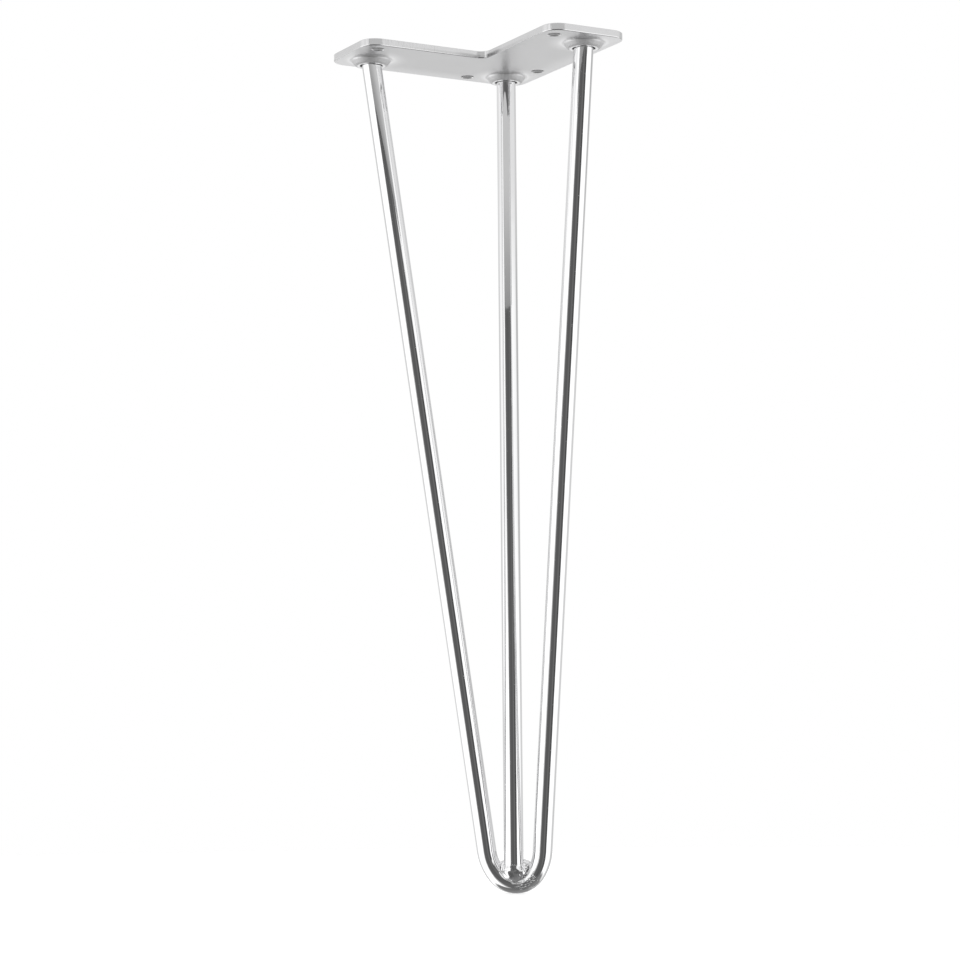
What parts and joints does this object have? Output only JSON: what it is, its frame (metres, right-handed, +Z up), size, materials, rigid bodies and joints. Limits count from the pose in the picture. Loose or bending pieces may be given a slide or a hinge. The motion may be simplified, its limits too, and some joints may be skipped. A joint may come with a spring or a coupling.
{
  "type": "table leg",
  "caption": "Chromed hairpin table leg: an L-shaped pressed mounting plate, a rod bent to a narrow U and a straight corner rod welded into its bend.",
  "frame": {"origin": "on the plate's upper face, at the middle of the rectangle round the three rod holes", "axes": "+Z up, out of the plate's upper face into the table top; the leg is symmetric about X = 0, and +Y points to the plate's outer corner"},
  "size_m": [0.1432, 0.0984, 0.4059],
  "materials": {
    "chromed_rod": "bright chrome plating on drawn steel bar",
    "chromed_plate": "chrome plating on rolled steel, softer and slightly cloudy",
    "chromed_weld": "chrome plating over a smoothed weld bead"
  },
  "bodies": {
    "root": {"mounting_plate": "chromed_plate", "bent_rod": "chromed_rod", "corner_rod": "chromed_rod", "left_plate_weld": "chromed_weld", "right_plate_weld": "chromed_weld", "corner_plate_weld": "chromed_weld", "foot_weld": "chromed_weld"}
  },
  "joints": []
}
